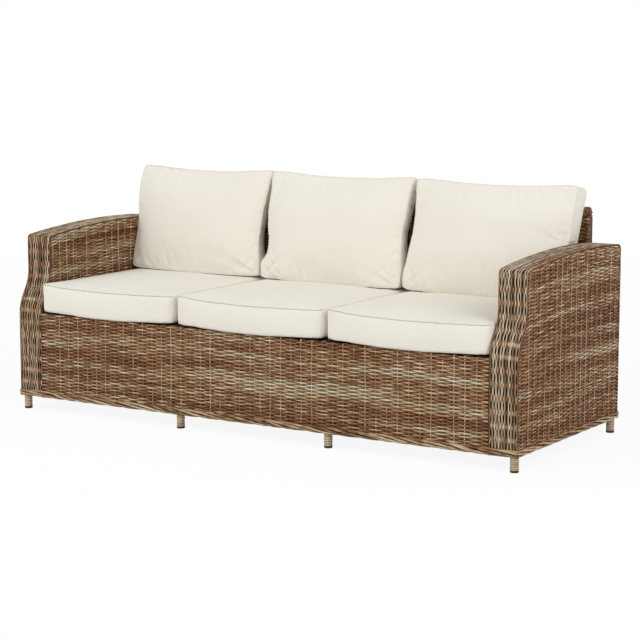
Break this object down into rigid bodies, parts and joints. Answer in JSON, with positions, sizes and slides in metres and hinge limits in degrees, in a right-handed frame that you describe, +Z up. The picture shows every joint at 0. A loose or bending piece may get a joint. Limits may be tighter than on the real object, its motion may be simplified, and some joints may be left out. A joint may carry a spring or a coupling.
{
  "type": "rattan garden sofa",
  "caption": "Box-arm garden sofa in woven synthetic rattan over a bent tube frame, with loose boxed seat cushions and leaning back pillows.",
  "frame": {"origin": "on the floor under the middle of the sofa", "axes": "+X along the sofa towards its right end as seen from the front, +Y from the front to the back, +Z up"},
  "size_m": [2, 0.76, 0.8499],
  "materials": {
    "weave": "half-round synthetic rattan strand, mottled brown and tan, plain weave",
    "band_weave": "thicker synthetic rattan strand, greyed tan and brown, woven lengthways",
    "roll_weave": "light tan synthetic rattan strand, wrapped round the rail",
    "deck_weave": "brown synthetic rattan strand, plain weave",
    "tube": "brown powder coat",
    "cap": "dark moulded cap",
    "fabric": "off-white outdoor polyester, fine plain weave",
    "foam": "open-cell cushion foam",
    "zip": "moulded coil zip on tape"
  },
  "bodies": {
    "sofa_frame": {"arm_hoop_outer_left": "tube", "arm_hoop_outer_right": "tube", "arm_hoop_inner_left": "tube", "arm_hoop_inner_right": "tube", "arm_spreader_left": "tube", "arm_spreader_right": "tube", "arm_band_left": "band_weave", "arm_band_right": "band_weave", "arm_outer_skin_left": "weave", "arm_outer_skin_right": "weave", "arm_inner_skin_left": "weave", "arm_inner_skin_right": "weave", "foot_cap_front_left": "cap", "foot_cap_front_mid_left": "cap", "foot_cap_front_mid_right": "cap", "foot_cap_front_right": "cap", "foot_cap_rear_left": "cap", "foot_cap_rear_mid_left": "cap", "foot_cap_rear_mid_right": "cap", "foot_cap_rear_right": "cap", "front_leg_mid_left": "tube", "front_leg_mid_right": "tube", "base_rail_front": "tube", "base_rail_rear": "tube", "base_rail_left": "tube", "base_rail_right": "tube", "seat_rail_front": "tube", "seat_rail_rear": "tube", "seat_rail_left": "tube", "seat_rail_right": "tube", "cross_rail_left": "tube", "cross_rail_right": "tube", "back_upright_end_left": "tube", "back_upright_mid_left": "tube", "back_upright_mid_right": "tube", "back_upright_end_right": "tube", "back_top_rail": "tube", "back_top_roll": "roll_weave", "back_outer_skin": "weave", "back_inner_skin": "weave", "front_apron": "weave", "seat_deck": "deck_weave"},
    "seat_cushion_left": {"seat_left_cover": "fabric", "seat_left_core": "foam", "seat_left_zip": "zip"},
    "seat_cushion_middle": {"seat_middle_cover": "fabric", "seat_middle_core": "foam", "seat_middle_zip": "zip"},
    "seat_cushion_right": {"seat_right_cover": "fabric", "seat_right_core": "foam", "seat_right_zip": "zip"},
    "back_pillow_left": {"back_left_cover": "fabric", "back_left_core": "foam", "back_left_zip": "zip"},
    "back_pillow_middle": {"back_middle_cover": "fabric", "back_middle_core": "foam", "back_middle_zip": "zip"},
    "back_pillow_right": {"back_right_cover": "fabric", "back_right_core": "foam", "back_right_zip": "zip"}
  },
  "joints": [
    {"name": "seat_slide_left", "type": "slide", "parent": "sofa_frame", "child": "seat_cushion_left", "axis": [0, -1, 0], "range_m": [0, 0.25]},
    {"name": "seat_slide_middle", "type": "slide", "parent": "sofa_frame", "child": "seat_cushion_middle", "axis": [0, -1, 0], "range_m": [0, 0.25]},
    {"name": "seat_slide_right", "type": "slide", "parent": "sofa_frame", "child": "seat_cushion_right", "axis": [0, -1, 0], "range_m": [0, 0.25]},
    {"name": "pillow_lift_left", "type": "slide", "parent": "sofa_frame", "child": "back_pillow_left", "axis": [0, 0, 1], "range_m": [0, 0.25]},
    {"name": "pillow_lift_middle", "type": "slide", "parent": "sofa_frame", "child": "back_pillow_middle", "axis": [0, 0, 1], "range_m": [0, 0.25]},
    {"name": "pillow_lift_right", "type": "slide", "parent": "sofa_frame", "child": "back_pillow_right", "axis": [0, 0, 1], "range_m": [0, 0.25]}
  ]
}
